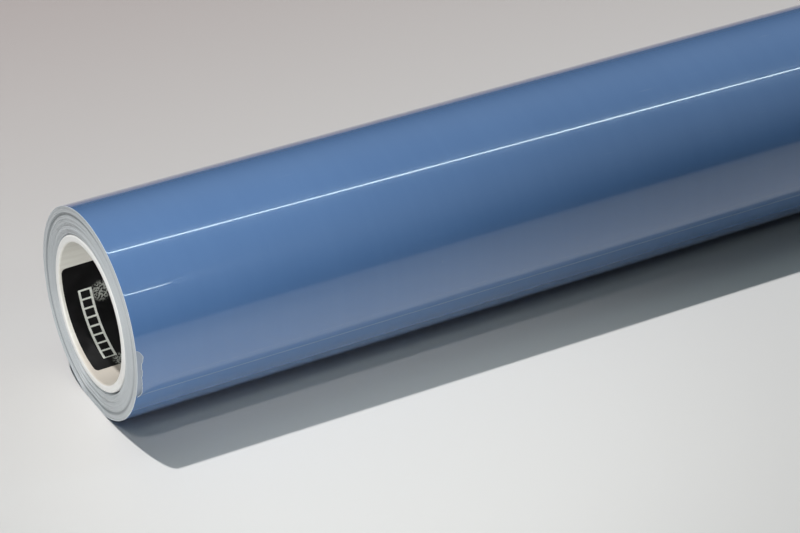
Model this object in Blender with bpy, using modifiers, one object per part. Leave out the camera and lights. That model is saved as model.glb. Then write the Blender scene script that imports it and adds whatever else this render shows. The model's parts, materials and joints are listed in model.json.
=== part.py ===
"""A roll of glossy backdrop film, wound on a thick core and lying on its side.

X runs along the roll, from the labelled end at -X to the plain end at +X. Z is up, and the
roll rests at z = 0. Angles round the roll are in degrees: 0 at the top, 90 at the front (-Y)
and 180 at the bottom. "Wound" counts degrees back along the sheet from its free edge, over
the top and down behind. The last quarter turn is the tail, which lifts away from the roll.
"""

import math

import bmesh
import bpy

# Driving sizes, in metres and degrees.
SHEET_WIDTH = 1.524
SHEET_THICKNESS = 0.0003
CORE_BORE_RADIUS = 0.0381
CORE_WALL = 0.00435
CORE_RIM_ROUNDING = 0.0012
WINDING_DEPTH = 0.01525  # from the core's outer face to the outside of the last turn
BASE_FLATTENING = 0.0012  # how far the roll's own weight presses its underside in
CORE_OVERHANG = 0.0  # how far the core stands out of the winding at each end

# The tail: the free end of the sheet, hinged in panels so that it can unroll.
TAIL_EDGE_ANGLE = 109.5
TAIL_PANELS = 6
TAIL_PANEL_SPAN = 15.0
TAIL_TRIMMED_PANELS = 2  # the last panels, whose side edge stops short of the roll's end
TAIL_TRIM = 0.003

# The start of the sheet, where its first turn climbs over its own inner edge.
START_ANGLE = 138.0
START_HALF_SPAN = 38.0
START_GAP = 0.0006
START_TAPE_WIDTH = 0.015
START_TAPE_THICKNESS = 0.00015
START_TAPE_MARGIN = 0.03  # from each end of the core

# The label inside the bore, at the -X end. Its skew turns its upper end away from the core's end.
LABEL_ANGLE = -127.5
LABEL_ROUND = 0.063
LABEL_DEEP = 0.045
LABEL_INSET = 0.0024
LABEL_SKEW = -1.4
LABEL_CORNER = 0.0025
LABEL_THICKNESS = 0.00015

# Clearances between neighbouring pieces.
LAYER_GAP = 0.0003
HINGE_GAP = 0.0003

# How finely round shapes are divided: degrees round the roll, and faces to a round corner or a tape.
STEP = 5.0
CLOSEST_STEP = 0.5
CORNER_FACES = 3
TAPE_FACES = 4

# Sizes that follow from the ones above.
CORE_RADIUS = CORE_BORE_RADIUS + CORE_WALL
ROLL_RADIUS = CORE_RADIUS + WINDING_DEPTH
PITCH = SHEET_THICKNESS + LAYER_GAP
TAIL_SPAN = TAIL_PANELS * TAIL_PANEL_SPAN
BOTTOM_WOUND = TAIL_EDGE_ANGLE + 180
END_X = SHEET_WIDTH / 2
CORE_END_X = END_X + CORE_OVERHANG


def last_turn_radius(wound):
    """Outer radius of the last turn. It drops by one layer between the tail's root and the free edge."""
    return ROLL_RADIUS - PITCH * max(wound - TAIL_SPAN, 0) / (360 - TAIL_SPAN)


AXIS_HEIGHT = last_turn_radius(BOTTOM_WOUND) - BASE_FLATTENING
FLAT_HALF_SPAN = math.degrees(math.acos(AXIS_HEIGHT / last_turn_radius(BOTTOM_WOUND)))


def round_point(angle, radius):
    """(y, z) of a point at that angle and radius about the roll's axis."""
    turn = math.radians(angle)
    return -radius * math.sin(turn), AXIS_HEIGHT + radius * math.cos(turn)


def sheet_point(wound, depth):
    """(y, z) on the last turn, or depth below its outer face, kept above the base's flat."""
    angle = TAIL_EDGE_ANGLE - wound
    radius = last_turn_radius(wound) - depth
    down = -math.cos(math.radians(angle))
    if down > 0:
        radius = min(radius, (AXIS_HEIGHT - depth) / down)
    return round_point(angle, radius)


def wound_stations(first, last):
    """First and last, and between them every STEP and the two corners of the base's flat."""
    steps = [STEP * n for n in range(1, math.ceil(360 / STEP))]
    corners = [BOTTOM_WOUND - FLAT_HALF_SPAN, BOTTOM_WOUND + FLAT_HALF_SPAN]
    low, high = first + CLOSEST_STEP, last - CLOSEST_STEP
    return [first, *sorted(station for station in steps + corners if low < station < high), last]


def gap_angle(gap, radius):
    return math.degrees(gap / radius)


def start_gap(angle):
    """Extra room between core and winding, which swells where the sheet starts."""
    away = abs(angle - START_ANGLE) / START_HALF_SPAN
    return START_GAP * 0.5 * (1 + math.cos(math.pi * away)) if away < 1 else 0.0


def clear_scene():
    for thing in list(bpy.data.objects):
        bpy.data.objects.remove(thing, do_unlink=True)


def make_material(name, colour, roughness):
    material = bpy.data.materials.new(name)
    material.use_nodes = True
    shader = material.node_tree.nodes["Principled BSDF"]
    shader.inputs["Base Color"].default_value = (*colour, 1)
    shader.inputs["Roughness"].default_value = roughness
    shader.inputs["Metallic"].default_value = 0
    return material


def add_object(name, data, collection, material):
    thing = bpy.data.objects.new(name, data)
    data.materials.append(material)
    collection.objects.link(thing)
    return thing


def mesh_from(shape, name):
    """A mesh of that bmesh, which is then freed."""
    mesh = bpy.data.meshes.new(name)
    shape.to_mesh(mesh)
    shape.free()
    mesh.shade_smooth()
    return mesh


def thicken(thing, thickness):
    """Gives an open surface its thickness, inwards from the side it faces."""
    solidify = thing.modifiers.new("thickness", "SOLIDIFY")
    solidify.thickness = thickness
    solidify.offset = -1
    solidify.use_even_offset = True


def strip_mesh(name, outline, x_from, x_to, origin=(0, 0)):
    """An open surface: (y, z) points joined in order, drawn out along X and facing off the axis."""
    shape = bmesh.new()
    places = [(x_from, y - origin[0], z - origin[1]) for y, z in outline]
    corners = [shape.verts.new(place) for place in places]
    edges = [shape.edges.new(pair) for pair in zip(corners, corners[1:])]
    drawn = bmesh.ops.extrude_edge_only(shape, edges=edges)["geom"]
    far_side = [part for part in drawn if isinstance(part, bmesh.types.BMVert)]
    bmesh.ops.translate(shape, verts=far_side, vec=(x_to - x_from, 0, 0))
    shape.normal_update()
    shape.faces.ensure_lookup_table()
    face = shape.faces[0]
    centre = face.calc_center_median()
    off_axis = (centre.y + origin[0], centre.z + origin[1] - AXIS_HEIGHT)
    if face.normal.y * off_axis[0] + face.normal.z * off_axis[1] < 0:
        bmesh.ops.reverse_faces(shape, faces=shape.faces[:])
    return mesh_from(shape, name)


def rim_corner(x, radius, first_quarter):
    """Points of one rounded corner of the core's section, as (distance from axis, along axis)."""
    turns = [math.radians(90 * (first_quarter + n / CORNER_FACES)) for n in range(CORNER_FACES + 1)]
    return [
        (radius + CORE_RIM_ROUNDING * math.cos(t), x + CORE_RIM_ROUNDING * math.sin(t))
        for t in turns
    ]


def core_section():
    """The core wall's outline: down its outer face and back up the bore, with round corners."""
    low, high = CORE_BORE_RADIUS + CORE_RIM_ROUNDING, CORE_RADIUS - CORE_RIM_ROUNDING
    top = CORE_END_X - CORE_RIM_ROUNDING
    corners = [(top, low, 1), (-top, low, 2), (-top, high, 3), (top, high, 0)]
    anticlockwise = [point for corner in corners for point in rim_corner(*corner)]
    return anticlockwise[::-1]


def make_core(collection):
    shape = bmesh.new()
    corners = [shape.verts.new((across, 0, along)) for across, along in core_section()]
    for pair in zip(corners, corners[1:] + corners[:1]):
        shape.edges.new(pair)
    material = make_material("core_plastic", (0.80, 0.79, 0.74), 0.45)
    core = add_object("core_tube", mesh_from(shape, "core_tube"), collection, material)
    core.location = (0, 0, AXIS_HEIGHT)
    core.rotation_euler = (0, math.radians(90), 0)
    turning = core.modifiers.new("turned", "SCREW")
    turning.axis = "Z"
    turning.steps = turning.render_steps = round(360 / STEP)
    turning.use_merge_vertices = True
    turning.merge_threshold = 0.00005
    return core


def make_label(collection):
    """A thin sheet with round corners, cut flat, turned a little askew and bent into the bore."""
    shape = bmesh.new()
    bmesh.ops.create_grid(shape, x_segments=1, y_segments=1, size=0.5)
    bmesh.ops.scale(shape, verts=shape.verts[:], vec=(LABEL_DEEP, LABEL_ROUND, 1))
    corners = shape.verts[:]
    bmesh.ops.bevel(
        shape, geom=corners, offset=LABEL_CORNER, segments=CORNER_FACES, profile=0.5, affect="VERTICES"
    )
    skew, bend_radius = math.radians(LABEL_SKEW), CORE_BORE_RADIUS - LAYER_GAP
    for corner in shape.verts:
        x, round_bore = corner.co.x, corner.co.y
        corner.co.x = x * math.cos(skew) - round_bore * math.sin(skew)
        corner.co.y = x * math.sin(skew) + round_bore * math.cos(skew)
    step = bend_radius * math.radians(STEP)
    cuts = math.ceil(LABEL_ROUND / step / 2)
    for n in range(-cuts, cuts + 1):
        everything = shape.verts[:] + shape.edges[:] + shape.faces[:]
        bmesh.ops.bisect_plane(
            shape, geom=everything, dist=1e-6, plane_co=(0, n * step, 0), plane_no=(0, 1, 0)
        )
    middle = LABEL_INSET + LABEL_DEEP / 2 - CORE_END_X
    for corner in shape.verts:
        angle = LABEL_ANGLE + math.degrees(corner.co.y / bend_radius)
        corner.co = (corner.co.x + middle, *round_point(angle, bend_radius))
    shape.normal_update()
    for face in shape.faces:
        off_axis = face.calc_center_median()
        off_axis.x, off_axis.z = 0, off_axis.z - AXIS_HEIGHT
        if face.normal.dot(off_axis) < 0:
            face.normal_flip()
    material = make_material("label_film", (0.012, 0.012, 0.013), 0.35)
    label = add_object("core_label", mesh_from(shape, "core_label"), collection, material)
    thicken(label, LABEL_THICKNESS)
    return label


def make_start_tape(collection):
    """The adhesive strip on the core that holds the sheet's inner edge."""
    outer = CORE_RADIUS + LAYER_GAP + START_TAPE_THICKNESS
    half_span = math.degrees(START_TAPE_WIDTH / outer / 2)
    angles = [START_ANGLE + half_span * (2 * n / TAPE_FACES - 1) for n in range(TAPE_FACES + 1)]
    outline = [round_point(angle, outer) for angle in angles]
    reach = CORE_END_X - START_TAPE_MARGIN
    material = make_material("adhesive_tape", (0.62, 0.50, 0.30), 0.6)
    mesh = strip_mesh("start_tape", outline, -reach, reach)
    tape = add_object("start_tape", mesh, collection, material)
    thicken(tape, START_TAPE_THICKNESS)
    return tape


def add_outline(curve, points):
    spline = curve.splines.new("POLY")
    spline.points.add(len(points) - 1)
    for corner, (y, z) in zip(spline.points, points):
        corner.co = (y, z, 0, 1)
    spline.use_cyclic_u = True


def make_winding(collection, material):
    """All the turns below the last one, as one body with the core's hole and the sheet's step."""
    curve = bpy.data.curves.new("winding", "CURVE")
    curve.dimensions = "2D"
    curve.fill_mode = "BOTH"
    curve.extrude = SHEET_WIDTH / 2
    add_outline(curve, [sheet_point(wound, PITCH) for wound in wound_stations(0, 360)])
    bore = [STEP * n for n in range(round(360 / STEP))]
    inner = CORE_RADIUS + LAYER_GAP
    add_outline(curve, [round_point(angle, inner + start_gap(angle)) for angle in bore])
    winding = add_object("winding", curve, collection, material)
    winding.rotation_euler = (math.radians(90), 0, math.radians(90))
    return winding


def make_last_turn(collection, material):
    """The fixed part of the outermost turn, from the tail's root round to under its free edge."""
    first = TAIL_SPAN + gap_angle(HINGE_GAP, ROLL_RADIUS) / 2
    last = 360 - gap_angle(LAYER_GAP, ROLL_RADIUS)
    outline = [sheet_point(wound, 0) for wound in wound_stations(first, last)]
    mesh = strip_mesh("outer_turn", outline, -END_X, END_X)
    turn = add_object("outer_turn", mesh, collection, material)
    thicken(turn, SHEET_THICKNESS)
    return turn


def make_tail(collection, material):
    """The tail's panels from root to free edge, each on the one before, with its origin on its hinge."""
    panels = []
    hinge_before = (0, 0)
    half_gap = gap_angle(HINGE_GAP, ROLL_RADIUS) / 2
    for n in range(TAIL_PANELS):
        root = TAIL_SPAN - n * TAIL_PANEL_SPAN
        edge = root - TAIL_PANEL_SPAN
        is_last = n == TAIL_PANELS - 1
        hinge = sheet_point(root, SHEET_THICKNESS / 2)
        stations = wound_stations(edge if is_last else edge + half_gap, root - half_gap)
        outline = [sheet_point(wound, 0) for wound in stations]
        trim = TAIL_TRIM if n >= TAIL_PANELS - TAIL_TRIMMED_PANELS else 0
        name = f"tail_panel_{n + 1}"
        mesh = strip_mesh(name, outline, trim - END_X, END_X, origin=hinge)
        panel = add_object(name, mesh, collection, material)
        thicken(panel, SHEET_THICKNESS)
        panel.location = (0, hinge[0] - hinge_before[0], hinge[1] - hinge_before[1])
        if panels:
            panel.parent = panels[-1]
        panels.append(panel)
        hinge_before = hinge
    return panels


def main():
    clear_scene()
    collection = bpy.data.collections.new("backdrop_roll")
    bpy.context.scene.collection.children.link(collection)
    make_core(collection)
    make_label(collection)
    make_start_tape(collection)
    film = make_material("glossy_film", (0.10, 0.20, 0.38), 0.08)
    make_winding(collection, make_material("film_edges", (0.50, 0.54, 0.57), 0.45))
    make_last_turn(collection, film)
    make_tail(collection, film)


main()
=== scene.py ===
"""The looks of a roll of glossy backdrop film on its core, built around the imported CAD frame.

Metres and degrees. X runs along the roll, from the labelled end at -X to the plain end at +X.
An angle round the roll is 0 at the top, 90 at the front (-Y) and 180 at the bottom. "Wound" counts
degrees back along the sheet from its free edge, and goes on past 360 turn by turn to the core.
"""

import json
import math

import bpy
import numpy as np
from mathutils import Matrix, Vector

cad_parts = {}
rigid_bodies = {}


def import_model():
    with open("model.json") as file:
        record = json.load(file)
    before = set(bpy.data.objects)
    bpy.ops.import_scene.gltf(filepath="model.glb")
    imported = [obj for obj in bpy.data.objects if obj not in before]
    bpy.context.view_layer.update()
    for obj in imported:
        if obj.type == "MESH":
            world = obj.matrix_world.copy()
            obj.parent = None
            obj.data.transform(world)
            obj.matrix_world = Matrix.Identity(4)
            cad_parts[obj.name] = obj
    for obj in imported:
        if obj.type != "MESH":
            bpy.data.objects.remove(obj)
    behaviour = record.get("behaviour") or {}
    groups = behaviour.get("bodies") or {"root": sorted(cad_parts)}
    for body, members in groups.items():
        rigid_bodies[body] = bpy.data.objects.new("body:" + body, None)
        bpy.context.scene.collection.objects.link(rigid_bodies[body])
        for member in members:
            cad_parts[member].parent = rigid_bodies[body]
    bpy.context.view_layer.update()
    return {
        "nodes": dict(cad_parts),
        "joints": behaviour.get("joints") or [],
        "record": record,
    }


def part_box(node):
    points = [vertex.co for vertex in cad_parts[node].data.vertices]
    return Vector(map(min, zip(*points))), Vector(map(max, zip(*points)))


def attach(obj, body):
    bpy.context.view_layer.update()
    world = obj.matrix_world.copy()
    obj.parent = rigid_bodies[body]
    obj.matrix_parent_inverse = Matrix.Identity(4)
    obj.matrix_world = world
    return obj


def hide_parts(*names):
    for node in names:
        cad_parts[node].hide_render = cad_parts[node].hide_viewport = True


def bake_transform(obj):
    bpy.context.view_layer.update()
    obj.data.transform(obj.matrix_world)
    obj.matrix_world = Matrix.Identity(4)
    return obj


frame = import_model()
joints = frame["joints"]


# ---- Sizes and places, taken from the frame ----

core_low, core_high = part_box("core_tube")
AXIS_HEIGHT = (core_low.z + core_high.z) / 2
CORE_RADIUS = (core_high.z - core_low.z) / 2
END = core_high.x


def radii(node):
    """Least and greatest distance of a CAD node's corners from the roll's axis."""
    away = [math.hypot(v.co.y, v.co.z - AXIS_HEIGHT) for v in frame["nodes"][node].data.vertices]
    return min(away), max(away)


def angle_of(y, z):
    return math.degrees(math.atan2(-y, z - AXIS_HEIGHT))


def angles(node):
    """Least and greatest angle of a CAD node's corners, for a node that doesn't reach the bottom."""
    found = [angle_of(v.co.y, v.co.z) for v in frame["nodes"][node].data.vertices]
    return min(found), max(found)


tail_bodies = [joint["child"] for joint in joints]
tail_panels = [frame["record"]["behaviour"]["bodies"][body][0] for body in tail_bodies]
BORE_RADIUS = radii("core_tube")[0]
SHEET_INNER, ROLL_RADIUS = radii(tail_panels[0])
SHEET = ROLL_RADIUS - SHEET_INNER
EDGE_ANGLE = angles(tail_panels[-1])[1]
HINGES = [EDGE_ANGLE - angle_of(*joint["pos_m"][1:]) for joint in joints]
TAIL_SPAN = HINGES[0]
HALF_PANEL = (HINGES[0] - HINGES[1]) / 2
TAPE_LOW, TAPE_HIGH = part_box("start_tape")
START_ANGLE = angle_of((TAPE_LOW.y + TAPE_HIGH.y) / 2, (TAPE_LOW.z + TAPE_HIGH.z) / 2)


# ---- The sheet's spiral ----

TURN = 360.0
FILM = 0.9 * SHEET  # a little under the sheet's own thickness, so that neighbouring turns stay apart
CORE_CLEARANCE = 0.00003
START_BULGE = 0.0012  # how far the sheet's first turns stand off the core beside its taped start
START_HALF_SPAN = 62.0
BULGE_ANGLE = 130.0
BULGE_DEPTH = 0.003  # the bulge fades this far out into the winding
FLAT_SOFTNESS = 0.00008
SPIRAL_STEP = 2.0
LAST_FILM = EDGE_ANGLE + TURN  # the separate outer sheet dives under itself and ends at the top


def drop_in_layers(wound):
    """How many layers nearer the axis the sheet is than at its free edge. The tail itself stays level."""
    turns, part = np.divmod(wound, TURN)
    return turns + np.clip((part - TAIL_SPAN) / (TURN - TAIL_SPAN), 0, 1)


def fit_winding():
    """The wound angle where the sheet starts at the core and the pitch of its layers, for most turns."""
    depth = ROLL_RADIUS - CORE_RADIUS - CORE_CLEARANCE
    turns = int(depth / SHEET)
    while True:
        start = EDGE_ANGLE - START_ANGLE + TURN * turns
        pitch = depth / (drop_in_layers(start) + 1)
        if pitch >= SHEET:
            return start, float(pitch)
        turns -= 1


START_WOUND, LAYER_PITCH = fit_winding()


def natural_radius(wound):
    """Outer radius of the sheet before the roll's weight presses on it."""
    return ROLL_RADIUS - LAYER_PITCH * drop_in_layers(wound)


BASE_RADIUS = float(natural_radius(EDGE_ANGLE + 180))


def start_bulge(angle, radius):
    away = np.abs((angle - BULGE_ANGLE + 180) % TURN - 180) / START_HALF_SPAN
    swell = np.where(away < 1, 0.5 + 0.5 * np.cos(np.pi * np.minimum(away, 1)), 0)
    return START_BULGE * swell * np.exp(-(radius - CORE_RADIUS) / BULGE_DEPTH)


def pressed(angle, radius):
    """radius, less where the underside is pressed flat on the floor. The press fades out at the core."""
    down = np.maximum(-np.cos(np.radians(angle)), 0.5)
    share = (radius - CORE_RADIUS) / (BASE_RADIUS - CORE_RADIUS)
    flat = (CORE_RADIUS + share * (AXIS_HEIGHT - CORE_RADIUS)) / down
    return -FLAT_SOFTNESS * np.logaddexp(-radius / FLAT_SOFTNESS, -flat / FLAT_SOFTNESS)


def sheet_radius(wound, under=0.0):
    """Radius at that place on the sheet, or under below its outer face."""
    angle = EDGE_ANGLE - wound
    radius = natural_radius(wound) - under
    return pressed(angle, radius) + start_bulge(angle, radius)


def on_roll(x, angle, radius):
    """Points in the row frame, as an array whose last axis is x, y, z."""
    turn = np.radians(angle)
    parts = (x, -radius * np.sin(turn), AXIS_HEIGHT + radius * np.cos(turn))
    return np.stack(np.broadcast_arrays(*parts), axis=-1)


# ---- Mesh helpers ----


def rows(first, last, step):
    """Evenly spaced values from first to last, no further apart than step."""
    return np.linspace(first, last, max(2, math.ceil(abs(last - first) / step - 1e-6) + 1))


def index_grid(start, *shape):
    return start + np.arange(math.prod(shape)).reshape(shape)


def quads(a, b, c, d):
    return np.stack([a, b, c, d], axis=-1).reshape(-1, 4)


def cells(grid):
    """The quads of a grid of corner indices."""
    return quads(grid[:-1, :-1], grid[:-1, 1:], grid[1:, 1:], grid[1:, :-1])


def walls(first, second):
    """The quads between two rows of corner indices."""
    return quads(first[:-1], first[1:], second[1:], second[:-1])


def add_object(name, points, faces, materials, looks=None):
    mesh = bpy.data.meshes.new(name)
    mesh.from_pydata(points.reshape(-1, 3).tolist(), [], faces.tolist())
    for material in materials:
        mesh.materials.append(material)
    if looks is not None:
        mesh.polygons.foreach_set("material_index", looks.astype(np.int32))
    mesh.shade_smooth()
    thing = bpy.data.objects.new(name, mesh)
    bpy.context.scene.collection.objects.link(thing)
    return thing


def corner_indices(mesh):
    found = np.zeros(len(mesh.loops), np.int32)
    mesh.loops.foreach_get("vertex_index", found)
    return found


def set_uv(mesh, per_point):
    layer = mesh.uv_layers.new(name="UVMap")
    layer.data.foreach_set("uv", per_point[corner_indices(mesh)].astype(np.float32).ravel())


# ---- Material helpers ----


class Nodes:
    """A material's node tree, with a short way to add and join nodes."""

    def __init__(self, name):
        self.material = bpy.data.materials.new(name)
        self.material.use_nodes = True
        self.tree = self.material.node_tree
        self.shader = self.tree.nodes["Principled BSDF"]

    def add(self, kind, inputs=None, **settings):
        node = self.tree.nodes.new("ShaderNode" + kind)
        for key, value in settings.items():
            setattr(node, key, value)
        for key, value in (inputs or {}).items():
            self.put(node.inputs[key], value)
        return node

    def put(self, socket, value):
        if isinstance(value, bpy.types.NodeSocket):
            self.tree.links.new(value, socket)
        elif hasattr(value, "__len__") and len(value) == 3 and socket.type == "RGBA":
            socket.default_value = (*value, 1)
        else:
            socket.default_value = value

    def set(self, **inputs):
        for key, value in inputs.items():
            self.put(self.shader.inputs[key.replace("_", " ")], value)

    def math(self, operation, *values):
        node = self.add("Math", operation=operation)
        for socket, value in zip(node.inputs, values):
            self.put(socket, value)
        return node.outputs[0]

    def span(self, value, low, high, to_low=0.0, to_high=1.0):
        """value from low..high to to_low..to_high, clamped and smooth at both ends."""
        inputs = {"Value": value, "From Min": low, "From Max": high, "To Min": to_low, "To Max": to_high}
        return self.add("MapRange", inputs, interpolation_type="SMOOTHSTEP").outputs[0]

    def noise(self, vector, scale, detail=2.0, roughness=0.5, **settings):
        inputs = {"Vector": vector, "Scale": scale, "Detail": detail, "Roughness": roughness}
        return self.add("TexNoise", inputs, **settings).outputs[0]

    def stretched(self, vector, scale):
        return self.add("Mapping", {"Vector": vector, "Scale": scale}).outputs[0]

    def mix(self, share, first, second):
        node = self.add("Mix", data_type="RGBA")
        for socket, value in ((node.inputs[0], share), (node.inputs[6], first), (node.inputs[7], second)):
            self.put(socket, value)
        return node.outputs[2]

    def bump(self, height, distance, strength=1.0):
        inputs = {"Height": height, "Distance": distance, "Strength": strength}
        return self.add("Bump", inputs).outputs[0]


# ---- Materials ----

FILM_BLUE = (0.080, 0.166, 0.345)
FILM_BLUE_DEEP = (0.073, 0.155, 0.328)
FILM_DUST = (0.42, 0.46, 0.50)
SPECK_SCALE, SPECK_LOTS, SPECK_CHANCE = 95.0, 7.31, 0.07
SCUFF_SHARE = 0.10
FILM_EDGE_PALE_AND_LIT = (0.22, 0.30, 0.40)
EDGE_LINE_WIDTH = 0.0006  # width of the pale line along the sheet's free edge: its pale cut stuff, and painted highlight where the edge catches the light
BARE_STRIP = (0.22, 0.265, 0.33)
STRIP_WIDTH = 0.0040  # where the layer under the tail's trimmed side edge has lost its colour
STRIP_TO = 30.0  # wound degrees back from the free edge
STRIP_SIDE_FADE, STRIP_START_FADE, STRIP_END_FADE = 0.0006, 0.0004, 0.003
FILM_PALE = (0.46, 0.50, 0.53)
FILM_PALE_WORN = (0.38, 0.42, 0.45)
CORE_RING = (0.60, 0.61, 0.60)
CORE_RING_WORN = (0.54, 0.54, 0.52)
CORE_WALL = (0.60, 0.60, 0.555)
CORE_WALL_WORN = (0.55, 0.545, 0.50)
CORE_WALL_SHADED = (0.46, 0.425, 0.375)
BORE_FADE = (0.0008, 0.0001)  # the wall's look fades in between these distances outside the bore's radius
WALL_SHADE_FADE = (0.7, 0.95)  # and its painted shade, darker and warmer, between these shares of the radius below the axis
LABEL_BLACK = (0.0035, 0.0035, 0.004)
LABEL_PALE = (0.66, 0.68, 0.64)
LABEL_WORN = (0.008, 0.008, 0.009)
LABEL_SCUFFED = (0.30, 0.315, 0.29)
LABEL_SCUFFS = (((0.0205, 0.019), 0.0065), ((0.0165, 0.060), 0.0055))  # each one's place and reach
LABEL_PALE_WORN = (0.52, 0.55, 0.50)
TAPE_AMBER = (0.62, 0.50, 0.30)
TAPE_WORN = (0.50, 0.38, 0.22)
EDGE_PALE = (0.40, 0.43, 0.445)
EDGE_DARK = (0.31, 0.335, 0.35)
EDGE_RING_SHADE = (0.15, 0.17, 0.18)
EDGE_RIM_HIGHLIGHT = (0.42, 0.455, 0.475)
HIGHLIT_RIM_TURNS = 6  # the outermost turns, whose edges get a painted highlight where they catch the light
SHADED_RING_TURNS = (10, 14, 15, 19)  # turns in of a ring of painted shade over recessed layers: it comes in over the first two and goes over the last two
SHADED_RING_SHARE = 0.75
FLOOR_FRONT = (0.63, 0.622, 0.614)
FLOOR_BACK_SHADED = (0.385, 0.328, 0.32)
FLOOR_SHADE_FROM, FLOOR_SHADE_TO = -0.1, 0.75


def film_dust(nodes, uv, haze):
    """Rare specks, and faint scuffs along the roll, from 0 to 1."""
    spots = nodes.add("TexVoronoi", {"Vector": uv, "Scale": SPECK_SCALE, "Randomness": 1.0})
    lot = nodes.math("FRACT", nodes.math("MULTIPLY", spots.outputs["Color"], SPECK_LOTS))
    rare = nodes.math("GREATER_THAN", lot, 1 - SPECK_CHANCE)
    speck = nodes.math("MULTIPLY", rare, nodes.span(spots.outputs["Distance"], 0.035, 0.015))
    scuffs = nodes.noise(nodes.stretched(uv, (30.0, 900.0, 1.0)), 1.0, detail=1.0)
    scuff = nodes.math("MULTIPLY", nodes.span(scuffs, 0.70, 0.78), nodes.span(haze, 0.52, 0.62))
    return nodes.math("MAXIMUM", speck, nodes.math("MULTIPLY", scuff, SCUFF_SHARE))


def bare_strip(nodes, along, back):
    """Where the layer under the trimmed side edge of the tail has lost its colour, from 0 to 1."""
    first, last = (math.radians(TURN + wound) * ROLL_RADIUS for wound in (0.0, STRIP_TO))
    beside = nodes.span(along, STRIP_WIDTH + STRIP_SIDE_FADE, STRIP_WIDTH)
    started = nodes.span(back, first - STRIP_START_FADE, first)
    going = nodes.span(back, last + STRIP_END_FADE, last)
    return nodes.math("MULTIPLY", nodes.math("MULTIPLY", beside, started), going)


def make_film():
    """High gloss coated blue. Its UVs are metres along the roll and metres back along the sheet."""
    nodes = Nodes("glossy_film")
    uv = nodes.add("UVMap", uv_map="UVMap").outputs[0]
    along, back = nodes.add("SeparateXYZ", {"Vector": uv}).outputs[:2]
    clouds = nodes.noise(uv, 9.0, detail=3.0)
    streaks = nodes.noise(nodes.stretched(uv, (160.0, 5.0, 1.0)), 1.0, detail=3.0)
    tint = nodes.math("ADD", nodes.math("MULTIPLY", clouds, 0.7), nodes.math("MULTIPLY", streaks, 0.3))
    blue = nodes.mix(nodes.span(tint, 0.3, 0.7), FILM_BLUE_DEEP, FILM_BLUE)
    blue = nodes.mix(bare_strip(nodes, along, back), blue, BARE_STRIP)
    # A pale line along the free edge: the cut edge's pale stuff, with painted highlight where the edge
    # catches the light.
    blue = nodes.mix(nodes.span(back, EDGE_LINE_WIDTH, EDGE_LINE_WIDTH * 0.7), blue, FILM_EDGE_PALE_AND_LIT)
    haze = nodes.noise(nodes.stretched(uv, (14.0, 30.0, 1.0)), 1.0, detail=4.0, roughness=0.6)
    dust = film_dust(nodes, uv, haze)
    nodes.set(Base_Color=nodes.mix(dust, blue, FILM_DUST))
    shine = nodes.math("ADD", nodes.span(haze, 0.35, 0.75, 0.17, 0.26), nodes.math("MULTIPLY", dust, 0.3))
    nodes.set(Roughness=shine, IOR=1.5, Coat_Weight=1.0, Coat_Roughness=0.02, Coat_IOR=1.6)
    peel = nodes.noise(uv, 240.0, detail=1.0)
    nodes.set(Normal=nodes.bump(peel, 0.00001, 0.2))
    return nodes.material


def make_backing():
    """The sheet's own pale stuff, which shows on its cut edges and on its underside."""
    nodes = Nodes("film_backing")
    uv = nodes.add("UVMap", uv_map="UVMap").outputs[0]
    clouds = nodes.noise(uv, 30.0, detail=4.0)
    grain = nodes.noise(nodes.stretched(uv, (1500.0, 300.0, 1.0)), 1.0, detail=2.0)
    nodes.set(Base_Color=nodes.mix(nodes.span(clouds, 0.3, 0.75), FILM_PALE_WORN, FILM_PALE))
    nodes.set(Roughness=nodes.span(grain, 0.3, 0.7, 0.32, 0.46))
    nodes.set(Normal=nodes.bump(grain, 0.00001, 0.5))
    return nodes.material


def make_edges():
    """The wound layers' cut edges. The turns attribute counts layers in from the free edge."""
    nodes = Nodes("film_edges")
    turns = nodes.add("Attribute", attribute_name="turns").outputs["Fac"]
    place = nodes.add("TexCoord").outputs["Object"]
    banding = {"W": turns, "Scale": 0.9, "Detail": 3.0}
    layers = nodes.add("TexNoise", banding, noise_dimensions="1D").outputs[0]
    clouds = nodes.noise(place, 60.0, detail=4.0)
    tone = nodes.mix(nodes.span(layers, 0.3, 0.7), EDGE_DARK, EDGE_PALE)
    # A ring of painted shade where the layers lie recessed.
    comes, full, goes, gone = SHADED_RING_TURNS
    ring = nodes.math("MULTIPLY", nodes.span(turns, gone, goes), nodes.span(turns, comes, full))
    tone = nodes.mix(nodes.math("MULTIPLY", ring, SHADED_RING_SHARE), tone, EDGE_RING_SHADE)
    # Painted highlight on the outermost turns' edges, where they catch the light.
    rim = nodes.span(turns, HIGHLIT_RIM_TURNS, 1, 0.0, 0.55)
    tone = nodes.mix(rim, tone, EDGE_RIM_HIGHLIGHT)
    cloudy = nodes.span(clouds, 0.3, 0.75, 0.0, 0.25)
    nodes.set(Base_Color=nodes.mix(cloudy, tone, EDGE_DARK))
    nodes.set(Roughness=nodes.span(clouds, 0.3, 0.7, 0.34, 0.48))
    nodes.set(Normal=nodes.bump(nodes.noise(place, 2500.0), 0.00002, 0.4))
    return nodes.material


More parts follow.
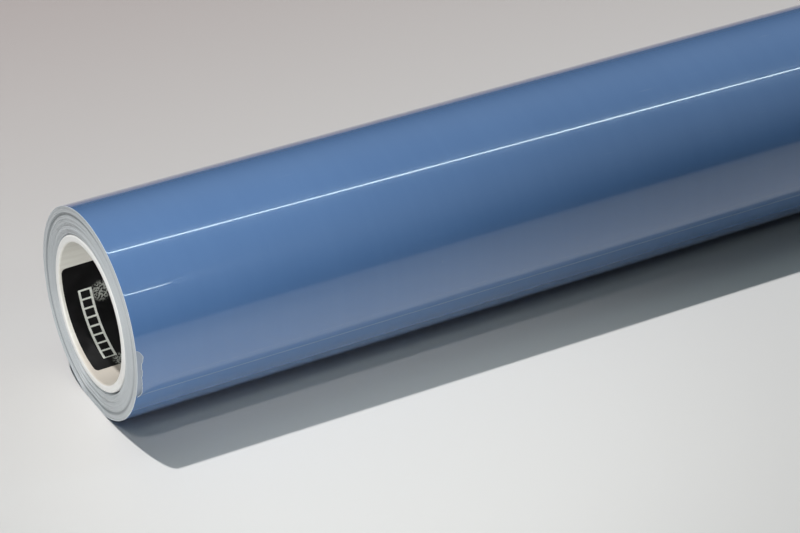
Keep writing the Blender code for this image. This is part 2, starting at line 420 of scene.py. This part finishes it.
def make_core():
    """Off-white tube: cleaner and brighter at its ends, faintly fibrous inside the bore, where painted
    shade makes the wall darker and warmer towards the bottom.
    """
    nodes = Nodes("core_plastic")
    place = nodes.add("TexCoord").outputs["Object"]
    parts = nodes.add("SeparateXYZ", {"Vector": place})
    flat = nodes.add("CombineXYZ", {"Y": parts.outputs["Y"], "Z": parts.outputs["Z"]}).outputs[0]
    axis = nodes.add("VectorMath", {0: flat, 1: (0, 0, AXIS_HEIGHT)}, operation="DISTANCE").outputs["Value"]
    inside = nodes.span(axis, *(BORE_RADIUS + away for away in BORE_FADE))
    # Painted shade: the bore's wall turns darker and warmer towards its bottom.
    low = nodes.span(parts.outputs["Z"], *(AXIS_HEIGHT - BORE_RADIUS * share for share in WALL_SHADE_FADE))
    fibres = nodes.noise(nodes.stretched(place, (40.0, 400.0, 400.0)), 1.0, detail=4.0)
    clouds = nodes.noise(place, 35.0, detail=4.0)
    wall = nodes.mix(nodes.span(fibres, 0.3, 0.7), CORE_WALL_WORN, CORE_WALL)
    wall = nodes.mix(low, wall, CORE_WALL_SHADED)
    ring = nodes.mix(nodes.span(clouds, 0.45, 0.8), CORE_RING, CORE_RING_WORN)
    nodes.set(Base_Color=nodes.mix(inside, ring, wall))
    nodes.set(Roughness=nodes.span(clouds, 0.3, 0.7, 0.38, 0.5))
    nodes.set(Normal=nodes.bump(fibres, 0.00002, 0.3))
    return nodes.material


def make_label_black():
    nodes = Nodes("label_film")
    uv = nodes.add("UVMap", uv_map="UVMap").outputs[0]
    clouds = nodes.noise(uv, 120.0, detail=4.0)
    flakes = nodes.noise(uv, 900.0, detail=5.0)
    black = nodes.mix(nodes.span(clouds, 0.4, 0.8), LABEL_BLACK, LABEL_WORN)
    for place, reach in LABEL_SCUFFS:
        away = nodes.add("VectorMath", {0: uv, 1: (*place, 0)}, operation="DISTANCE")
        away = away.outputs["Value"]
        worn = nodes.math("MULTIPLY", nodes.span(away, reach, reach / 2), nodes.span(flakes, 0.44, 0.54))
        black = nodes.mix(worn, black, LABEL_SCUFFED)
    nodes.set(Base_Color=black)
    nodes.set(Roughness=nodes.span(clouds, 0.3, 0.7, 0.34, 0.46), Specular_IOR_Level=0.25)
    nodes.set(Normal=nodes.bump(nodes.noise(uv, 900.0), 0.00001, 0.4))
    return nodes.material


def make_label_print():
    nodes = Nodes("label_print")
    uv = nodes.add("UVMap", uv_map="UVMap").outputs[0]
    clouds = nodes.noise(uv, 500.0, detail=3.0)
    nodes.set(Base_Color=nodes.mix(nodes.span(clouds, 0.3, 0.7), LABEL_PALE, LABEL_PALE_WORN))
    nodes.set(Roughness=nodes.span(clouds, 0.3, 0.7, 0.4, 0.55))
    return nodes.material


def make_tape():
    nodes = Nodes("adhesive_tape")
    place = nodes.add("TexCoord").outputs["Object"]
    clouds = nodes.noise(place, 80.0, detail=4.0)
    nodes.set(Base_Color=nodes.mix(nodes.span(clouds, 0.3, 0.7), TAPE_AMBER, TAPE_WORN))
    nodes.set(Roughness=nodes.span(clouds, 0.3, 0.7, 0.4, 0.6))
    nodes.set(Normal=nodes.bump(clouds, 0.00005, 0.5))
    return nodes.material


def make_floor():
    """A pale, faintly glossy table top, cooler near the front, with painted shade making it darker and
    pinker towards the back.
    """
    nodes = Nodes("pale_floor")
    place = nodes.add("TexCoord").outputs["Object"]
    parts = nodes.add("SeparateXYZ", {"Vector": place})
    # Painted shade: the floor turns darker and pinker towards the back.
    back = nodes.span(parts.outputs["Y"], FLOOR_SHADE_FROM, FLOOR_SHADE_TO)
    clouds = nodes.noise(place, 3.0, detail=3.0)
    nodes.set(Base_Color=nodes.mix(back, FLOOR_FRONT, FLOOR_BACK_SHADED))
    nodes.set(Roughness=nodes.span(clouds, 0.3, 0.7, 0.46, 0.5), Specular_IOR_Level=0.35)
    return nodes.material


film = make_film()
backing = make_backing()
edges = make_edges()


# ---- The outer sheet and its tail ----

SHEET_STEP = 1.25  # degrees between rows of the sheet
SIDE_ROUND = 0.00022  # how far in from a cut edge its corner is rounded
ROUNDING_ERROR = 0.000002
SIDE_STATIONS = (  # how far in from each cut edge the columns and rows near it lie
    *(0, 0.00005, 0.00012, 0.00022, 0.0006, 0.0012, 0.002),
    *(0.0035, 0.006, 0.01, 0.016, 0.025, 0.04),
)
EDGE_STATIONS = 7  # how many of them the free edge takes too
SPAN_STEP = 0.02
OUTER_SHORT = 0.2  # degrees between the outer sheet's inner end and the winding's first row
CORNER_DROP = 0.4  # how far a cut corner drops, as a share of the film's thickness
DROOP, DROOP_WIDTH = 0.00004, 0.0012
RIPPLE, RIPPLES_AROUND, RIPPLE_SKEW, RIPPLES_ALONG = 0.000012, 3, 9, 27
EDGE_CURL, EDGE_CURL_WIDTH = 0.00012, 0.005
CORNER_CURL, CORNER_WIDTH = 0.00055, 0.0035
SIDE_LIFT, SIDE_LIFT_WIDTH, SIDE_LIFT_SPAN = 0.00012, 0.0025, 6.0
TRIM_FROM = 29.0  # wound degrees where the trimmed side edge starts, back from the free edge
TRIM = 0.0026
TRIM_FADE = 0.03  # the side edge's moves inward are spread over this much of the sheet
TRIM_WAVES = ((0.0002, 0.9, 0.0), (0.00012, 2.3, 1.0))  # height, radians per wound degree, start
TRIM_BITES = ((0.0010, 24.8, 2.4), (0.0006, 5.0, 2.0))  # depth, wound angle, half width
TRIM_START_SPAN, TRIM_START_CURVE = 2.5, 0.6
TIP_SHARE, TIP_SPAN = 0.85, 0.9
LEAST_RECESS = 0.00018
DRIFTS = ((0.00010, 0.62, 1.3), (0.00006, 1.7, 0.4))  # depth, radians per turn, shift towards an end
GROOVES = ((0.00030, 15.0, 3.5), (0.00022, 33.0, 4.0))  # depth, turns in, half width
FIRST_TURNS = (0.00035, 46.5, 2.5)  # how far the turns by the core lie in, from which turn, over how many
NORMAL_STEP_X, NORMAL_STEP_WOUND = 0.00002, 0.02


def hump(value, middle, width):
    return np.exp(-(((value - middle) / width) ** 2))


def side_trim(wound):
    """How far the tail's side edge is cut back at the labelled end: ragged, with a tip at the corner."""
    wavy = TRIM
    for height, rate, start in TRIM_WAVES:
        wavy = wavy + height * np.sin(wound * rate + start)
    for depth, middle, width in TRIM_BITES:
        wavy = wavy + depth * hump(wound, middle, width)
    begin = np.clip((TRIM_FROM - wound) / TRIM_START_SPAN, 0, 1)
    tip = 1 - TIP_SHARE * hump(wound, 0.0, TIP_SPAN)
    return np.where(wound < TRIM_FROM, wavy * begin**TRIM_START_CURVE * tip, 0)


def recess(turns, end):
    """How far a layer's edge lies in from the roll's end, as the winding wandered. end is -1 or 1."""
    drift = sum(depth * np.sin(turns * rate + shift * end) for depth, rate, shift in DRIFTS)
    groove = sum(depth * hump(turns, middle, width) for depth, middle, width in GROOVES)
    depth, first, over = FIRST_TURNS
    start = depth * np.clip((turns - first) / over, 0, 1)
    return LEAST_RECESS + drift + groove + start


def rounding(away):
    """How far a cut corner has dropped, at that distance in from the cut."""
    share = 1 - np.clip(away / SIDE_ROUND, 0, 1)
    return CORNER_DROP * FILM * (1 - np.sqrt(1 - share**2))


def tail_lift(x, wound, side, arc):
    """How far the tail stands off along its free edge, at its corner and by its trimmed side edge."""
    curl = EDGE_CURL * np.clip(1 - arc / EDGE_CURL_WIDTH, 0, 1) ** 2
    corner = hump(arc, 0, CORNER_WIDTH) * hump(side, 0, CORNER_WIDTH)
    trimmed_here = np.clip((TRIM_FROM - wound) / SIDE_LIFT_SPAN, 0, 1)
    ragged = trimmed_here * np.clip(1 - side / SIDE_LIFT_WIDTH, 0, 1) ** 2
    return curl + np.where(x < 0, CORNER_CURL * corner + SIDE_LIFT * ragged, 0)


def sheet_point(x, wound, under_face, trimmed):
    """A point on the sheet's face, or on its underside, at rest."""
    angle = EDGE_ANGLE - wound
    side = np.clip(END - np.abs(x), 0, None)
    arc = np.radians(np.clip(wound, 0, None)) * ROLL_RADIUS
    around = np.sin(np.radians(RIPPLES_AROUND * angle) + RIPPLE_SKEW * x)
    lift = RIPPLE * around * np.sin(RIPPLES_ALONG * x + 1.0)
    lift = lift - DROOP * np.clip(1 - side / DROOP_WIDTH, 0, 1) ** 2
    inward = recess(wound / TURN, np.sign(x))
    depth = FILM if under_face else np.minimum(rounding(side), FILM)
    if trimmed:
        lift = lift + tail_lift(x, wound, side, arc)
        inward = inward + np.where(x < 0, side_trim(wound), 0)
    if trimmed and not under_face:
        depth = np.maximum(depth, np.where(wound < TAIL_SPAN, rounding(arc), 0))
    inward = inward * np.clip(1 - side / TRIM_FADE, 0, 1)
    return on_roll(x - np.sign(x) * inward, angle, sheet_radius(wound, depth) + lift)


def face_normals(x, wound, under_face, trimmed):
    """Outward normals of the whole sheet there, so that neighbouring pieces shade as one."""
    dx, dw = NORMAL_STEP_X, NORMAL_STEP_WOUND
    state = (under_face, trimmed)
    along = sheet_point(x + dx, wound, *state) - sheet_point(x - dx, wound, *state)
    back = sheet_point(x, wound + dw, *state) - sheet_point(x, wound - dw, *state)
    normal = np.cross(along, back)
    normal = normal / np.linalg.norm(normal, axis=-1, keepdims=True)
    return -normal if under_face else normal


def along_sheet():
    """X of the sheet's columns, close together near both ends."""
    near = [END - away for away in SIDE_STATIONS]
    middle = rows(-near[-1], near[-1], SPAN_STEP)[1:-1]
    return np.array([-x for x in near] + list(middle) + near[::-1])


def make_sheet(name, wound, trimmed):
    """One closed piece of the sheet over those wound angles."""
    x, wound = np.meshgrid(along_sheet(), np.asarray(wound, float))
    count, columns = x.shape
    top, bottom = index_grid(0, count, columns), index_grid(count * columns, count, columns)
    points = np.stack([sheet_point(x, wound, False, trimmed), sheet_point(x, wound, True, trimmed)])
    parts = [
        cells(top),
        cells(bottom)[:, [0, 3, 2, 1]],
        quads(top[:-1, 0], top[1:, 0], bottom[1:, 0], bottom[:-1, 0]),
        quads(top[:-1, -1], bottom[:-1, -1], bottom[1:, -1], top[1:, -1]),
        quads(top[0, :-1], bottom[0, :-1], bottom[0, 1:], top[0, 1:]),
        quads(top[-1, :-1], top[-1, 1:], bottom[-1, 1:], bottom[-1, :-1]),
    ]
    faces = np.concatenate(parts)
    side = np.minimum(END - np.abs(x[:-1, :-1]), END - np.abs(x[:-1, 1:]))
    glossy = (side >= SIDE_ROUND - ROUNDING_ERROR).ravel()
    looks = np.ones(len(faces))
    looks[: len(glossy)][glossy] = 0
    thing = add_object(name, points, faces, [film, backing], looks)
    mesh = thing.data
    flat = np.stack([(x + END).ravel(), (np.radians(wound) * ROLL_RADIUS).ravel()], axis=-1)
    set_uv(mesh, np.concatenate([flat, flat]))
    smooth = [face_normals(x, wound, under, trimmed).reshape(-1, 3) for under in (False, True)]
    smooth = np.concatenate(smooth)
    normals = smooth[faces.ravel()].reshape(len(faces), 4, 3)
    first_wall = 2 * len(glossy)
    corners = points.reshape(-1, 3)[faces[first_wall:]]
    facing = np.cross(corners[:, 2] - corners[:, 0], corners[:, 3] - corners[:, 1])
    facing = facing / np.linalg.norm(facing, axis=-1, keepdims=True)
    normals[first_wall:] = facing[:, None, :]
    mesh.normals_split_custom_set(normals.reshape(-1, 3).tolist())
    return thing


def build_sheet():
    """The fixed outer turn, a piece over each hinge, and the free edge's piece."""
    root = TAIL_SPAN + HALF_PANEL
    dive = LAST_FILM - OUTER_SHORT
    turn = make_sheet("outer_sheet", rows(root, dive, SHEET_STEP), trimmed=False)
    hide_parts("outer_turn")
    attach(turn, joints[0]["parent"])
    for number, (joint, hinge, panel) in enumerate(zip(joints, HINGES, tail_panels), 1):
        first, last = hinge - HALF_PANEL, hinge + HALF_PANEL
        bend = make_sheet(f"tail_bend_{number}", rows(first, last, SHEET_STEP / 2), trimmed=True)
        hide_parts(panel)
        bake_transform(bend)
    edge_rows = [math.degrees(away / ROLL_RADIUS) for away in SIDE_STATIONS[:EDGE_STATIONS]]
    inner_rows = rows(edge_rows[-1], HALF_PANEL, SHEET_STEP / 2)[1:]
    edge = make_sheet("tail_edge", [*edge_rows, *inner_rows], trimmed=True)
    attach(edge, tail_bodies[-1])


# ---- The winding, with every layer's edge ----

LAYER_PROFILE = ((0.0, 0.00007), (0.2, 0.0), (0.8, 0.0))  # share of a layer, and depth below its crown
WINDING_GAP = 0.00003  # between the separate outer sheet and the winding under it
SHARP_STEP = 60.0  # degrees between faces that shade apart


def ring_points(wound, radius, end, depth):
    """Points along one corner of the wound layers, that deep in from one end of the roll."""
    angle = EDGE_ANGLE - wound
    out = pressed(angle, radius - WINDING_GAP * np.clip((radius - CORE_RADIUS) / BULGE_DEPTH, 0, 1))
    x = end * (END - recess(wound / TURN, end) - depth)
    return on_roll(x, angle, out + start_bulge(angle, radius))


def winding_end(wound, past, end):
    """The points of one end face: each layer's profile at each step, then a turn past the start."""
    layers = []
    for share, depth in LAYER_PROFILE:
        layers.append(ring_points(wound, natural_radius(wound) - share * LAYER_PITCH, end, depth))
    tail = ring_points(past, natural_radius(past), end, LAYER_PROFILE[0][1])
    return np.concatenate([np.stack(layers, axis=1).reshape(-1, 3), tail])


def build_winding():
    steps = round(TURN / SPIRAL_STEP)
    last = round((START_WOUND - LAST_FILM) / SPIRAL_STEP)
    profile = len(LAYER_PROFILE)
    grid = index_grid(0, last + 1, profile)
    extra = index_grid(grid.size, steps)
    line = np.concatenate([grid[:, 0], extra])  # the layer's outer corner at each step, and past the start
    wound = LAST_FILM + SPIRAL_STEP * np.arange(last + 1)
    past = LAST_FILM + SPIRAL_STEP * (last + 1 + np.arange(steps))
    faces = [cells(grid)]
    here, below = np.arange(last), np.arange(last) + steps
    faces.append(quads(grid[here, -1], line[below], line[below + 1], grid[here + 1, -1]))
    one_end = np.concatenate(faces)
    count = grid.size + steps
    points = np.concatenate([winding_end(wound, past, end) for end in (-1, 1)])
    outer = line[: steps + 1]
    inner = line[last:]
    step_out = np.append(grid[0], line[steps])
    step_in = np.append(grid[last], line[last + steps])
    side = [
        walls(outer + count, outer),
        walls(inner, inner + count),
        walls(step_out, step_out + count),
        walls(step_in + count, step_in),
    ]
    faces = np.concatenate([one_end[:, ::-1], one_end + count, *side])
    looks = np.zeros(len(faces))
    looks[2 * len(one_end) :] = 1
    thing = add_object("winding_layers", points, faces, [edges, backing], looks)
    mesh = thing.data
    shares = [wound + TURN * share for share, _ in LAYER_PROFILE]
    turns = np.concatenate([np.stack(shares, axis=1).ravel(), past]) / TURN
    layer = mesh.attributes.new("turns", "FLOAT", "POINT")
    layer.data.foreach_set("value", np.concatenate([turns, turns]).astype(np.float32))
    angle = np.concatenate([np.repeat(wound, profile), past])
    flat = np.stack([np.radians(angle) * ROLL_RADIUS, turns * LAYER_PITCH], axis=-1)
    set_uv(mesh, np.concatenate([flat, flat]))
    mesh.set_sharp_from_angle(angle=math.radians(SHARP_STEP))
    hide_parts("winding")
    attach(thing, joints[0]["parent"])


# ---- The core, its label and the tape under the winding ----

CORE_AROUND = 240
RIM_ROUND = 0.0013
RIM_FACES = 8
CORE_REACH, CORE_STEP = 0.6, 0.1  # how far each way from the middle the tube has rows, and how often


def rim_corner(radius, outward):
    """(x in from the end, radius) of points round one corner of the core's end, from bore to outside."""
    turn = np.radians(np.linspace(0, 90, RIM_FACES + 1))
    x = RIM_ROUND * (1 - np.sin(turn)) if outward < 0 else RIM_ROUND * (1 - np.cos(turn))
    away = RIM_ROUND * (1 - np.cos(turn)) if outward < 0 else RIM_ROUND * (1 - np.sin(turn))
    return np.stack([x, radius - outward * away], axis=-1)


def build_core():
    bore, outside = rim_corner(BORE_RADIUS, -1), rim_corner(CORE_RADIUS, 1)
    end = np.concatenate([bore, outside])
    inner = [(-x, BORE_RADIUS) for x in rows(-CORE_REACH, CORE_REACH, CORE_STEP)]
    outer = [(x, CORE_RADIUS) for x in rows(-CORE_REACH, CORE_REACH, CORE_STEP)]
    left = [(-END + x, r) for x, r in end]
    right = [(END - x, r) for x, r in end[::-1]]
    outline = np.array(left + outer + right + inner)
    angle = np.linspace(0, TURN, CORE_AROUND, endpoint=False)[:, None]
    points = on_roll(outline[None, :, 0], -angle, outline[None, :, 1])
    grid = index_grid(0, CORE_AROUND, len(outline))
    grid = np.concatenate([grid, grid[:1]])
    grid = np.concatenate([grid, grid[:, :1]], axis=1)
    thing = add_object("core", points, cells(grid), [make_core()])
    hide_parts("core_tube")
    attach(thing, joints[0]["parent"])


LABEL_SKEW = math.radians(-1.4)
LABEL_CORNER = 0.0025
LABEL_LIFT = 0.00004
LABEL_THICK = 0.00013
LABEL_CELL = 0.0012
LABEL_LEAST_CELL = 0.00004
LABEL_CORNER_ROWS = np.array([0.0002, 0.0005, 0.001])  # extra rows near both ends, for the round corners
LABEL_SHARP = 50.0
SCALE_LINES = (0.0085, 0.0150)  # two long bars, this far in from the label's near edge
SCALE_BAR = 0.0013
SCALE_FROM, SCALE_TO = 0.016, 0.056
TICK_STEP, TICK_LINE = 0.005, 0.0010


def printed(deep, along):
    """Whether a spot of the label is printed with the plain measuring scale."""
    if not SCALE_FROM <= along <= SCALE_TO:
        return False
    if any(abs(deep - line) <= SCALE_BAR / 2 for line in SCALE_LINES):
        return True
    between = SCALE_LINES[0] < deep < SCALE_LINES[1]
    from_tick = abs((along - SCALE_FROM + TICK_STEP / 2) % TICK_STEP - TICK_STEP / 2)
    return between and from_tick <= TICK_LINE / 2


def label_lines(length, marks):
    """Grid lines over length: close together, and one at each printed line's edges."""
    found = set(np.round(rows(0, length, LABEL_CELL), 6)) | {round(mark, 6) for mark in marks}
    kept = []
    for value in sorted(found):
        if not kept or value - kept[-1] > LABEL_LEAST_CELL:
            kept.append(value)
    return np.array(kept)


def build_label():
    low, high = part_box("core_label")
    first, last = angles("core_label")
    height = math.radians(last - first) * BORE_RADIUS - abs(math.sin(LABEL_SKEW)) * (high.x - low.x)
    width = (high.x - low.x) - abs(math.sin(LABEL_SKEW)) * height
    bars = [line + side * SCALE_BAR / 2 for line in SCALE_LINES for side in (-1, 1)]
    ticks = [
        at + side * TICK_LINE / 2
        for at in rows(SCALE_FROM, SCALE_TO, TICK_STEP)
        for side in (-1, 1)
    ]
    deep = label_lines(width, bars)
    tall = label_lines(height, ticks)
    tall = np.unique(np.concatenate([tall, LABEL_CORNER_ROWS, height - LABEL_CORNER_ROWS]))
    across, along = np.meshgrid(deep, tall)
    near_end = np.clip(LABEL_CORNER - np.minimum(along, height - along), 0, None)
    narrowing = LABEL_CORNER - np.sqrt(LABEL_CORNER**2 - near_end**2)
    across_cut = narrowing + across * (width - 2 * narrowing) / width
    x = (across_cut - width / 2) * math.cos(LABEL_SKEW) - (along - height / 2) * math.sin(LABEL_SKEW)
    arc = (across_cut - width / 2) * math.sin(LABEL_SKEW) + (along - height / 2) * math.cos(LABEL_SKEW)
    x = x + (low.x + high.x) / 2
    angle = (first + last) / 2 - np.degrees(arc / BORE_RADIUS)
    under = on_roll(x, angle, BORE_RADIUS - LABEL_LIFT)
    over = on_roll(x, angle, BORE_RADIUS - LABEL_LIFT - LABEL_THICK)
    count = x.size
    top, bottom = index_grid(0, *x.shape), index_grid(count, *x.shape)
    rim = np.concatenate([top[0, :-1], top[:-1, -1], top[-1, :0:-1], top[::-1, 0]])
    faces = np.concatenate([cells(top), cells(bottom)[:, ::-1], walls(rim + count, rim)])
    looks = np.zeros(len(faces))
    centre_deep = (across[:-1, :-1] + across[:-1, 1:]).ravel() / 2
    centre_along = (along[:-1, :-1] + along[1:, :-1]).ravel() / 2
    looks[: len(centre_deep)] = [printed(*centre) for centre in zip(centre_deep, centre_along)]
    materials = [make_label_black(), make_label_print()]
    thing = add_object("core_sticker", np.stack([over, under]), faces, materials, looks)
    flat = np.stack([across_cut.ravel(), along.ravel()], axis=-1)
    set_uv(thing.data, np.concatenate([flat, flat]))
    thing.data.set_sharp_from_angle(angle=math.radians(LABEL_SHARP))
    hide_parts("core_label")
    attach(thing, joints[0]["parent"])


def dress_tape():
    tape = frame["nodes"]["start_tape"]
    tape.data.materials.clear()
    tape.data.materials.append(make_tape())


# ---- The floor, the camera and the light ----

FLOOR_HALF = 4.0
FLOOR_DROP = 0.0001
CAMERA_PLACE = (-9.08, -21.73, 14.91)  # in roll radii, from the axis at the labelled end
CAMERA_YAW, CAMERA_PITCH = 29.45, 31.64
CAMERA_LENS, CAMERA_SENSOR = 139.8, 36.0
LAMP_WHITE = (1.0, 0.98, 0.972)
TUBE_COLOUR = (0.79, 0.96, 0.98)
TUBE_HEIGHT, TUBE_WIDTH = 1.037, 0.022
TUBE_ROW = ((-0.410, -0.029), (0.300, -0.219))  # two places that the row over the roll passes
TUBE_ROW_REACH = 1.0  # how far the row goes on past both of them
TUBE_ROW_RADIANCE, SECOND_ROW_RADIANCE = 12.0, 16.0
SECOND_ROW_END = (-0.208, -1.096)
SECOND_ROW_LENGTH = 1.5
LIT_PLACE = Vector((-0.45, 0.0, 0.05))  # what the back key looks at
BACK_KEY_SIDE, BACK_KEY_AWAY = (-0.23, 0.23, 0.94), 5.0  # a little behind the roll, high up
BACK_KEY_WATTS, BACK_KEY_SIZE = 218.0, 0.14
# Each spot: its place, what it points at, watts, the beam's angle in degrees and the lamp's radius.
LEFT_KEY = ((-1.10, -0.40, 1.00), (-0.66, -0.10, 0.0), 8.0, 24.0, 0.02)
LEFT_BEAM = ((-1.95, -1.15, 0.32), (-0.95, -0.10, 0.04), 102.0, 22.0, 0.10)
RIGHT_BEAM = ((2.6, -0.05, 0.75), (0.85, 0.0, 0.03), 75.0, 36.0, 0.15)
FLOOR_FILL = ((-1.20, -0.75, 1.10), (-0.66, -0.14, 0.0), 11.0, 19.0, 0.10)
FLOOR_FILL_COLOUR = (0.90, 1.0, 0.96)
# The room's brightness goes from one value to the other between two heights, and more from front to back.
ROOM_SPANS = (("Z", 0.1, 0.75, 0.0, 0.22), ("Y", -0.1, 0.7, 0.01, 0.04))
ROOM_COLOUR = (0.94, 1.0, 0.98, 1)
ROOM_DIFFUSE = 0.28  # how much of the room's brightness reaches matt surfaces
BACKDROP_COLOUR = (0.62, 0.58, 0.57, 1)


def build_floor():
    corners = [(-1, -1), (1, -1), (1, 1), (-1, 1)]
    points = np.array([(x * FLOOR_HALF, y * FLOOR_HALF, -FLOOR_DROP) for x, y in corners])
    floor = add_object("floor", points, np.array([[0, 1, 2, 3]]), [make_floor()])
    return floor


def build_camera():
    data = bpy.data.cameras.new("camera")
    data.lens, data.sensor_width = CAMERA_LENS, CAMERA_SENSOR
    data.clip_start, data.clip_end = 0.01, 50
    camera = bpy.data.objects.new("camera", data)
    bpy.context.scene.collection.objects.link(camera)
    camera.location = Vector((-END, 0, AXIS_HEIGHT)) + Vector(CAMERA_PLACE) * ROLL_RADIUS
    camera.rotation_euler = (math.radians(90 - CAMERA_PITCH), 0, math.radians(-CAMERA_YAW))
    bpy.context.scene.camera = camera


def add_light(name, kind, place, target, power, colour, **settings):
    data = bpy.data.lights.new(name, kind)
    data.energy, data.color = power, colour
    for key, value in settings.items():
        setattr(data, key, value)
    light = bpy.data.objects.new(name, data)
    bpy.context.scene.collection.objects.link(light)
    light.location = place
    light.rotation_mode = "QUATERNION"
    light.rotation_quaternion = (Vector(target) - Vector(place)).to_track_quat("-Z", "Y")
    light.visible_camera = False
    return light


def add_tube(name, first, last, radiance):
    """A long thin ceiling light between two places, facing down."""
    along = last - first
    power = radiance * math.pi * along.length * TUBE_WIDTH
    middle = (first + last) / 2
    below = middle - Vector((0, 0, 1))
    light = add_light(name, "AREA", middle, below, power, TUBE_COLOUR, shape="RECTANGLE")
    light.data.size, light.data.size_y = along.length, TUBE_WIDTH
    light.rotation_mode = "XYZ"
    light.rotation_euler = (0, 0, math.atan2(along.y, along.x))


def add_spot(name, spot, colour=LAMP_WHITE):
    place, target, watts, angle, radius = spot
    beam = {"spot_size": math.radians(angle), "spot_blend": 1.0, "shadow_soft_size": radius}
    return add_light(name, "SPOT", place, target, watts, colour, **beam)


def link_light(light, thing, state):
    """INCLUDE lets a light reach only this object; EXCLUDE lets it reach everything else."""
    reached = bpy.data.collections.new(light.name + "_linked")
    reached.objects.link(thing)
    light.light_linking.receiver_collection = reached
    reached.collection_objects[0].light_linking.link_state = state


def build_lights(floor):
    first, last = (Vector((*place, TUBE_HEIGHT)) for place in TUBE_ROW)
    reach = (last - first).normalized() * TUBE_ROW_REACH
    add_tube("tube_row", first - reach, last + reach, TUBE_ROW_RADIANCE)
    second = Vector((*SECOND_ROW_END, TUBE_HEIGHT))
    along = (last - first).normalized()
    add_tube("second_row", second - along * SECOND_ROW_LENGTH, second, SECOND_ROW_RADIANCE)
    back = LIT_PLACE + Vector(BACK_KEY_SIDE).normalized() * BACK_KEY_AWAY
    disk = {"shape": "DISK", "size": BACK_KEY_SIZE}
    add_light("back_key", "AREA", back, LIT_PLACE, BACK_KEY_WATTS, LAMP_WHITE, **disk)
    add_spot("left_key", LEFT_KEY)
    # The low beams would leave pools on the floor, and the fill is only there for the floor.
    link_light(add_spot("right_beam", RIGHT_BEAM), floor, "EXCLUDE")
    link_light(add_spot("left_beam", LEFT_BEAM), floor, "EXCLUDE")
    link_light(add_spot("floor_fill", FLOOR_FILL, FLOOR_FILL_COLOUR), floor, "INCLUDE")


def build_world():
    """Dim in front and brighter above and behind, as the room is, with a pale backdrop behind the floor."""
    world = bpy.data.worlds.new("studio")
    world.use_nodes = True
    bpy.context.scene.world = world
    nodes, link = world.node_tree.nodes, world.node_tree.links.new
    place, parts = nodes.new("ShaderNodeTexCoord"), nodes.new("ShaderNodeSeparateXYZ")
    link(place.outputs["Generated"], parts.inputs[0])
    total, share = nodes.new("ShaderNodeMath"), nodes.new("ShaderNodeMath")
    total.operation, share.operation = "ADD", "MULTIPLY"
    for socket, (axis, *limits) in zip(total.inputs, ROOM_SPANS):
        span = nodes.new("ShaderNodeMapRange")
        span.interpolation_type = "SMOOTHSTEP"
        link(parts.outputs[axis], span.inputs["Value"])
        for key, value in zip(("From Min", "From Max", "To Min", "To Max"), limits):
            span.inputs[key].default_value = value
        link(span.outputs[0], socket)
    seen, matt = nodes.new("ShaderNodeLightPath"), nodes.new("ShaderNodeMapRange")
    link(seen.outputs["Is Diffuse Ray"], matt.inputs["Value"])
    matt.inputs["To Min"].default_value = 1.0
    matt.inputs["To Max"].default_value = ROOM_DIFFUSE
    link(total.outputs[0], share.inputs[0])
    link(matt.outputs[0], share.inputs[1])
    room, backdrop = nodes["Background"], nodes.new("ShaderNodeBackground")
    room.inputs["Color"].default_value = ROOM_COLOUR
    link(share.outputs[0], room.inputs["Strength"])
    backdrop.inputs["Color"].default_value = BACKDROP_COLOUR
    mix = nodes.new("ShaderNodeMixShader")
    link(seen.outputs["Is Camera Ray"], mix.inputs[0])
    link(room.outputs[0], mix.inputs[1])
    link(backdrop.outputs[0], mix.inputs[2])
    link(mix.outputs[0], nodes["World Output"].inputs["Surface"])


build_sheet()
build_winding()
build_core()
build_label()
dress_tape()
floor = build_floor()
build_camera()
build_lights(floor)
build_world()
bpy.context.scene.view_settings.view_transform = "Standard"
